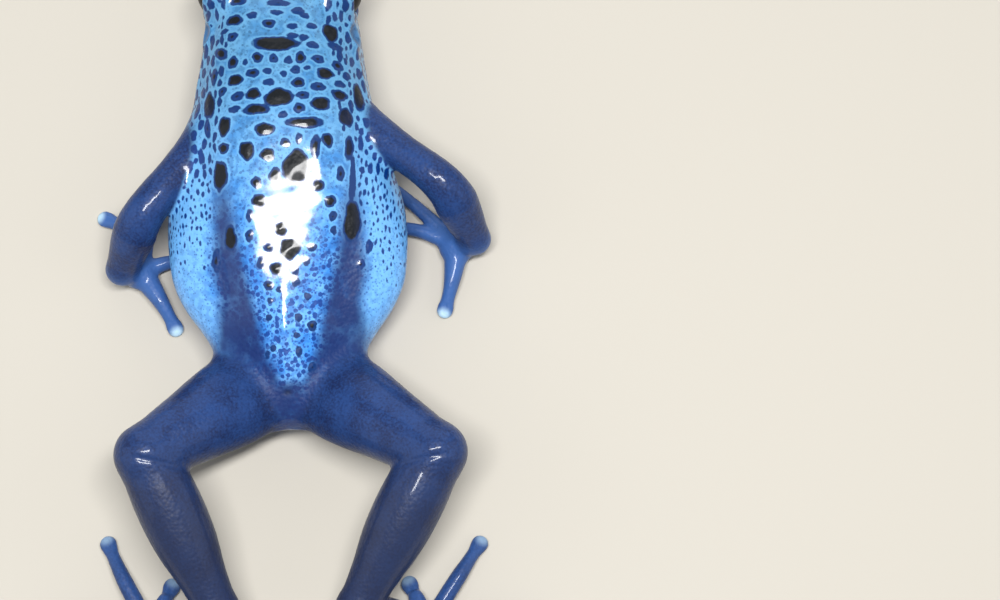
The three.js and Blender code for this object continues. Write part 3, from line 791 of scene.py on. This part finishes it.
def photo_spots(points, normals):
    """The photo's spots, each at the place on the back that its pixel shows"""
    u, v, scale = photo_place(points)
    back = (normals[:, 2] > 0.12) & (points[:, 2] > 3.0) & (np.abs(points[:, 0] + 0.6) < 10.5)
    seen = np.flatnonzero(back)
    for x, y, wide, tall, *turn in SPOTS:
        nearest = seen[np.argmin((u[seen] - x) ** 2 + (v[seen] - y) ** 2)]
        normal = normals[nearest]
        lean = max(math.sqrt(1 - normal[0] ** 2), 0.55)
        radii = (wide / scale[nearest] / lean, tall / scale[nearest])
        yield points[nearest], normal, radii, -math.radians(sum(turn))


def scatter_spots(points, normals, marks, allowed, kind, rng):
    """More spots at seeded random places that keep a gap to the spots already there"""
    radii, gap, tries, length = kind
    for vertex in rng.permutation(np.flatnonzero(allowed))[:tries]:
        radius = rng.uniform(*radii) * np.interp(points[vertex, 1], *SPOT_FADE)
        if marks[0][vertex] < radius + gap:
            continue
        stretch = rng.uniform(0.85, 1.25)
        sizes = (radius * stretch, radius / stretch)
        turn = rng.uniform(0, math.pi)
        if length > 0:
            sizes = (radius, radius * rng.uniform(1.2, length))
            turn = rng.uniform(-0.25, 0.25)
        stamp_spot(marks, points, (points[vertex], normals[vertex], sizes, turn), rng)


def body_side(points):
    """Signed distance from the body's midline, as a share of its half width"""
    mid, half = body_sizes(points[:, 1], 1, 2)
    return (points[:, 0] - mid) / np.maximum(half, 0.5)


def band_share(y, z, side):
    """Dark bands along the back, and the dark rear of the body"""
    rear = fall(4.2, 7.6, y + 0.25 * np.abs(side))
    across = np.abs(side - BAND_SHIFT)
    inner = rise(-0.8, 0.6, across - np.interp(y, *BAND_INNER))
    outer = fall(-0.8, 0.9, across - np.interp(y, *BAND_OUTER))
    band = inner * np.maximum(outer * fall(*BAND_FADE, y), rear)
    band = band * rise(4.2, 5.4, z + 3 * rear)
    tail = fall(0.2, 1.4, y) * rise(-6, -4, -np.abs(side))
    return np.maximum(band, tail)


def digit_shares(points):
    """Shares of the lighter blue of hands and feet, and of the pale discs of their tips"""
    x, y, z = points.T
    digit, pad = np.zeros((2, len(points)))
    for pose in POSE.values():
        for center, (reach, share) in ((pose["palm"], PALM_BLUE), (pose["sole"], SOLE_BLUE)):
            gap = np.hypot(x - center[0], y - center[1])
            near = fall(reach * 0.5, reach, gap) * fall(2.2, 3.8, z)
            digit = np.maximum(digit, share * near)
        for tips, share in ((pose["fingers"], 1.0), (pose["toes"], TOE_SHARE)):
            for tip in tips:
                gap = np.hypot(x - tip[0], y - tip[1])
                digit = np.maximum(digit, share * fall(*DIGIT_EDGE, gap) * (z < 2.2))
                pad = np.maximum(pad, share * fall(*PAD_EDGE, gap) * (z < 2.0))
    return digit, pad


def skin_regions(body_only, grid_points, points, normals):
    """Shares from 0 to 1 that say which colours a point of the skin takes"""
    x, y, z = points.T
    side = x - smooth_rows(BODY, y, 1)
    limb = rise(*LIMB_EDGE, sample(body_only, grid_points)) * fall(*FACE_EDGE, y)
    digit, pad = digit_shares(points)
    groin = fall(3.5, 7, y) * rise(0.8, 1.8, np.abs(side))
    groin = groin * fall(4.5, 7.5, np.abs(side))
    return {
        "limb": limb,
        "band": band_share(y, z, side),
        "belly": rise(-0.25, -0.7, normals[:, 2]) * (1 - limb),
        "fine": rise(0.55, 0.85, np.abs(body_side(points))) * fall(20, 26, y),
        "low": fall(*LOW_END, y),
        "nape": rise(*NAPE_START, y),
        "shin": limb * fall(*SHIN_ALONG, y) * rise(1.5, 3, z),
        "digit": digit * limb,
        "pad": pad * limb,
        "gloss": GLOSS * (1 - LIMB_DULL * limb) * (1 - groin),
    }


def skin_waves(points, rng):
    """Slight unevenness of the skin, from waves that run in seeded directions"""
    height = np.zeros(len(points))
    for length in WAVE_LENGTHS:
        way = unit(rng.normal(size=3))
        height += length * np.sin(points @ way * 2 * math.pi / length + rng.uniform(0, 2 * math.pi))
    return WAVE_HEIGHT * height * rise(0.2, 1.2, points[:, 2])


def hole_shade_and_ears(points):
    """Shares for the painted shade in the nostrils, mouth line and vent, and for the eardrums"""
    x, y, z = points.T
    line = hump(z - mouth_level(y), 0.13) * rise(*JAW_START, y)
    vent = hump(x - VENT[0], 0.35) * hump(y - VENT[1], 0.2) * (z > VENT[2] - 2)
    # Painted shade along the mouth slit and in the vent's dip
    hole_shade = 0.6 * np.maximum(line, vent)
    ear = np.zeros(len(points))
    for sign in (-1, 1):
        gap = np.linalg.norm(points - nostril(sign), axis=1)
        hole_shade = np.maximum(hole_shade, fall(NOSTRIL_RADIUS * 1.1, NOSTRIL_RADIUS * 1.5, gap))
        gap = np.linalg.norm(points - body_point(EAR_Y, sign, EAR_TURN), axis=1)
        ear = np.maximum(ear, fall(EAR_RADIUS * 0.75, EAR_RADIUS * 1.15, gap))
    return hole_shade, ear


def add_attribute(mesh, name, values):
    mesh.attributes.new(name, "FLOAT", "POINT").data.foreach_set("value", values.astype(np.float32))


def add_object(name, data):
    obj = bpy.data.objects.new(name, data)
    bpy.context.scene.collection.objects.link(obj)
    return obj


def new_object(name, points, faces):
    mesh = bpy.data.meshes.new(name)
    points = to_frame(points)
    mesh.vertices.add(len(points))
    mesh.vertices.foreach_set("co", points.astype(np.float32).ravel())
    mesh.loops.add(faces.size)
    mesh.loops.foreach_set("vertex_index", faces.astype(np.int32).ravel())
    mesh.polygons.add(len(faces))
    mesh.polygons.foreach_set("loop_start", np.arange(0, faces.size, faces.shape[1], dtype=np.int32))
    mesh.update(calc_edges=True)
    mesh.shade_smooth()
    return add_object(name, mesh)


def lay_spots(points, normals, limb, rng):
    """Distances from every point to the nearest spot's edge, and to the edge of its core"""
    spots = np.full((2, len(points)), FAR)
    for spot in photo_spots(points, normals):
        stamp_spot(spots, points, spot, rng)
    y, z = points[:, 1], points[:, 2]
    trunk = limb < 0.5
    flank = trunk & (np.abs(body_side(points)) > 0.62) & (y > 6) & (z > 2.2)
    thinned = rng.random(len(points)) < rise(7, 19, y) ** 2
    kinds = (
        (trunk & (y > 34) & (z > 4.8), FACE_SPOTS),
        (flank & (y > 18), FLANK_SPOTS),
        (flank & thinned, FLANK_SPECKS),
        (trunk & (z < 4) & (y > 12), THROAT_SPOTS),
    )
    for allowed, kind in kinds:
        scatter_spots(points, normals, spots, allowed, kind, rng)
    return spots


def make_skin():
    rng = np.random.default_rng(SEED)
    field, body_only = skin_field()
    grid_points, points, quads, normals = field_surface(field)
    regions = skin_regions(body_only, grid_points, points, normals)
    spots = lay_spots(points, normals, regions["limb"], rng)
    # Painted shade in nostrils, mouth line and vent, and the eardrums' share
    regions["hole_shade"], ear = hole_shade_and_ears(points)
    regions["band"] = np.maximum(regions["band"], 0.45 * ear)
    spots += 2 * ear
    regions["gloss"] *= 1 - CORE_DULL * rise(*CORE_EDGE, spots[1])
    swell = SPOT_RISE * rise(*SPOT_DOME, spots[0]) * (1 - regions["limb"])
    points = points + normals * (swell + skin_waves(points, rng))[:, None]
    skin = new_object("skin", points, quads)
    for name, values in {"spot": spots[0], "core": spots[1], **regions}.items():
        add_attribute(skin.data, name, values)
    skin.data.materials.append(skin_material())
    flesh = [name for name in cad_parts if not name.startswith("eye_")]
    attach(skin, "root")
    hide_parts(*flesh)


# Materials
class Shader:
    """Builds a node material line by line"""

    def __init__(self, name):
        self.material = bpy.data.materials.new(name)
        self.material.use_nodes = True
        self.tree = self.material.node_tree
        self.surface = self.tree.nodes["Principled BSDF"]

    def add(self, kind, **settings):
        node = self.tree.nodes.new(kind)
        for key, value in settings.items():
            setattr(node, key, value)
        return node

    def wire(self, value, socket):
        if isinstance(value, bpy.types.NodeSocket):
            self.tree.links.new(value, socket)
        else:
            socket.default_value = value

    def feed(self, node, **values):
        """Sets or links a node's inputs, with _ in a name for a space"""
        for name, value in values.items():
            self.wire(value, node.inputs[name.replace("_", " ")])

    def set(self, **values):
        self.feed(self.surface, **values)

    def attribute(self, name):
        return self.add("ShaderNodeAttribute", attribute_name=name).outputs["Fac"]

    def math(self, operation, *values):
        node = self.add("ShaderNodeMath", operation=operation)
        for socket, value in zip(node.inputs, values):
            self.wire(value, socket)
        return node.outputs[0]

    def times(self, a, b):
        return self.math("MULTIPLY", a, b)

    def plus(self, a, b):
        return self.math("ADD", a, b)

    def minus(self, a, b):
        return self.math("SUBTRACT", a, b)

    def line(self, value, slope, start):
        return self.math("MULTIPLY_ADD", value, slope, start)

    def ramp(self, value, low, high, start=0.0, end=1.0):
        node = self.add("ShaderNodeMapRange", interpolation_type="SMOOTHSTEP")
        self.feed(node, Value=value, From_Min=low, From_Max=high, To_Min=start, To_Max=end)
        return node.outputs[0]

    def mix(self, share, first, second):
        """Mix of two colours, each a source or sRGB shares"""
        node = self.add("ShaderNodeMix", data_type="RGBA")
        first, second = (linear(c) if isinstance(c, tuple) else c for c in (first, second))
        self.feed(node, Factor=share, A=first, B=second)
        return node.outputs["Result"]

    def texture(self, kind, output, numbers, **settings):
        node = self.add(kind, **settings)
        self.feed(node, Vector=self.add("ShaderNodeTexCoord").outputs["Object"], **numbers)
        return node.outputs[output]

    def noise(self, scale, detail=2.0):
        return self.texture("ShaderNodeTexNoise", "Fac", {"Scale": scale, "Detail": detail})

    def cells(self, scale, smoothness):
        """Distance to the middle of the nearest grain"""
        numbers = {"Scale": scale, "Smoothness": smoothness}
        return self.texture("ShaderNodeTexVoronoi", "Distance", numbers, feature="SMOOTH_F1")


def sky_back(s, cloud, edge, fine, low):
    """Sky blue of the back with its mottling and specks, paler round each spot"""
    middle = s.times(low, s.minus(1.0, fine))
    bright = s.plus(s.ramp(cloud, 0.33, 0.66), s.times(fine, 0.8))
    sky = s.mix(s.math("MINIMUM", bright, 1.0), SKY_DEEP, SKY)
    sky = s.mix(s.times(middle, 0.15), sky, SKY_DEEP)
    coarse = s.plus(s.cells(2000, 0.3), s.times(s.noise(3000), 0.35))
    small = s.plus(s.cells(3700, 0.3), s.times(s.noise(5000), 0.25))
    size = s.minus(s.line(middle, 0.14, 0.43), s.times(fine, 0.5))
    speck = s.ramp(s.minus(coarse, size), -0.05, 0.06, 1.0, 0.0)
    tiny = s.ramp(s.minus(small, s.line(middle, 0.08, 0.38)), -0.06, 0.08, 0.75, 0.0)
    mottle = s.times(s.ramp(s.noise(1900), 0.42, 0.6), s.ramp(edge, 0.12, 0.32))
    back = s.mix(s.times(mottle, s.line(fine, -0.2, 0.5)), sky, MOTTLE_BLUE)
    specks = s.times(s.math("MAXIMUM", speck, tiny), s.line(middle, 0.3, 0.62))
    back = s.mix(specks, back, SPECK_BLUE)
    halo = s.times(s.ramp(edge, 0.08, 0.26, 0.75, 0.0), s.line(low, -0.75, 1.0))
    back = s.mix(halo, back, SKY)
    return s.mix(s.times(s.attribute("nape"), 0.48), back, NAPE_TEAL)


def body_color(s, cloud):
    """Back, dark bands, belly, and the dark spots over them"""
    fine, low = s.attribute("fine"), s.attribute("low")
    wobble = s.times(s.minus(s.noise(2300), 0.5), 0.22)
    edge = s.plus(s.attribute("spot"), wobble)
    back = sky_back(s, cloud, edge, fine, low)
    patchy = s.times(s.attribute("band"), s.ramp(s.noise(700, 3), 0.3, 0.6, 0.86, 0.98))
    back = s.mix(patchy, back, BAND)
    back = s.mix(s.attribute("belly"), back, BELLY_BLUE)
    core = s.plus(s.attribute("core"), wobble)
    dark = s.mix(s.ramp(core, -0.08, 0.05), SPOT_AND_SHADE_DARK, SPOT_RIM)
    dark = s.mix(s.times(fine, 0.5), dark, SPECK_BLUE)
    return s.mix(s.ramp(edge, -0.02, 0.07, 1.0, 0.0), back, dark)


def limb_color(s, cloud):
    """Dark blue of the limbs, greyer on the shanks, lighter on hands, feet and discs"""
    grain = s.plus(s.times(s.noise(5200, 1), 0.5), s.times(cloud, 0.5))
    limbs = s.mix(s.ramp(grain, 0.30, 0.66), LIMB_DARK, LIMB_BLUE)
    limbs = s.mix(s.times(s.attribute("shin"), 0.75), limbs, SHIN_GRAY)
    limbs = s.mix(s.attribute("digit"), limbs, HAND_BLUE)
    return s.mix(s.attribute("pad"), limbs, PAD_PALE)


def skin_material():
    s = Shader("frog_skin")
    cloud = s.noise(420, 3)
    skin = s.mix(s.attribute("limb"), body_color(s, cloud), limb_color(s, cloud))
    # Painted shade: nostrils, mouth line and vent take the spots' black
    s.set(Base_Color=s.mix(s.attribute("hole_shade"), skin, SPOT_AND_SHADE_DARK), Coat_Weight=s.attribute("gloss"))
    s.set(Roughness=0.45, Specular_IOR_Level=0.15, Coat_Roughness=COAT_ROUGHNESS)
    bump = s.add("ShaderNodeBump")
    height = s.plus(s.times(s.cells(3200, 0.4), -0.75), s.times(s.noise(1000, 3), 0.9))
    s.feed(bump, Strength=0.6, Distance=0.00008, Height=height)
    s.set(Normal=bump.outputs["Normal"])
    return s.material


# Eyes
def eye_points(center, look, forward, up):
    """A ball whose rings run round the look direction, with a slightly raised cornea"""
    points = [center + look * EYE_RADIUS * (1 + CORNEA_RISE)]
    for ring in range(1, EYE_RINGS):
        angle = math.pi * ring / EYE_RINGS
        bulge = 1 + CORNEA_RISE * math.exp(-((angle / CORNEA_ANGLE) ** 2))
        for k in range(EYE_SEGMENTS):
            turn = 2 * math.pi * k / EYE_SEGMENTS
            way = forward * math.cos(turn) + up * math.sin(turn)
            points.append(center + EYE_RADIUS * bulge * (look * math.cos(angle) + way * math.sin(angle)))
    points.append(center - look * EYE_RADIUS)
    return np.array(points)


def ball_faces(rings, segments):
    """Triangles of a ball of rings between two poles"""
    last = 1 + (rings - 1) * segments

    def point(ring, k):
        return min(max(1 + (ring - 1) * segments + k % segments, 0), last)

    faces = []
    for ring in range(rings):
        for k in range(segments):
            a, b, c, d = point(ring, k), point(ring + 1, k), point(ring + 1, k + 1), point(ring, k + 1)
            faces += [face for face in ((a, b, c), (a, c, d)) if len(set(face)) == 3]
    return np.array(faces)


def make_eye(side, material):
    sign = -1 if side == "left" else 1
    center, look, forward, up = eye_frame(sign)
    points = eye_points(center, look, forward, up)
    faces = ball_faces(EYE_RINGS, EYE_SEGMENTS)
    if np.dot(np.cross(forward, up), look) < 0:
        faces = faces[:, ::-1]
    eye = new_object(f"eyeball_{side}", points, faces)
    offsets = (points - center) / EYE_RADIUS
    across, high, ahead = offsets @ forward, offsets @ up, offsets @ look
    pupil = magnitude(across / PUPIL_SIZE[0], high / PUPIL_SIZE[1]) - 1
    add_attribute(eye.data, "pupil", np.where(ahead > 0, pupil, 2.0))
    add_attribute(eye.data, "iris", np.where(ahead > 0, magnitude(across, high), 1.5))
    eye.data.materials.append(material)
    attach(eye, "root")
    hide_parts(f"eye_{side}")


def eye_material():
    s = Shader("frog_eye")
    pupil, iris = s.attribute("pupil"), s.attribute("iris")
    brown = s.mix(s.ramp(s.noise(2500, 3), 0.35, 0.7), EYE_DARK, EYE_BROWN)
    brown = s.mix(s.ramp(iris, 0.62, 0.80), brown, EYE_EDGE)
    rim = s.mix(s.ramp(pupil, 0.02, 0.30, 0.6, 0.0), brown, PUPIL_RIM)
    s.set(Base_Color=s.mix(s.ramp(pupil, -0.02, 0.02), PUPIL_BLACK, rim))
    s.set(Roughness=0.3, Specular_IOR_Level=0.0, Coat_Weight=0.5, Coat_Roughness=0.02)
    return s.material


# Floor, camera and light
def make_floor():
    bpy.ops.mesh.primitive_plane_add(size=FLOOR_SIZE, location=(0, 0, -FLOOR_DROP))
    floor = bpy.context.object
    floor.name = "floor"
    s = Shader("floor_paint")
    s.set(Base_Color=linear(FLOOR_PAINT), Roughness=0.8)
    floor.data.materials.append(s.material)


def make_camera():
    eye, _, _ = camera_frame()
    data = bpy.data.cameras.new("camera")
    data.lens, data.sensor_width = LENS_MM, SENSOR_MM
    data.clip_start = 0.01
    camera = add_object("camera", data)
    camera.location = to_frame(eye)
    camera.rotation_euler = (math.pi / 2 - CAMERA_ELEVATION, 0, 0)
    bpy.context.scene.camera = camera


def add_light(name, place, target, sizes, power):
    data = bpy.data.lights.new(name, "AREA")
    data.shape = "RECTANGLE"
    data.size, data.size_y = sizes
    data.energy = power
    light = add_object(name, data)
    light.location = place
    light.rotation_euler = (Vector(target) - light.location).to_track_quat("-Z", "Y").to_euler()


def make_lights():
    for light in LIGHTS:
        add_light(*light)
    world = bpy.data.worlds.new("studio")
    world.use_nodes = True
    background = world.node_tree.nodes["Background"].inputs
    background["Color"].default_value = WORLD_COLOR
    background["Strength"].default_value = WORLD_STRENGTH
    bpy.context.scene.world = world


make_camera()
make_skin()
eye_look = eye_material()
for eye_side in ("left", "right"):
    make_eye(eye_side, eye_look)
make_floor()
make_lights()
bpy.context.scene.view_settings.view_transform = "Standard"
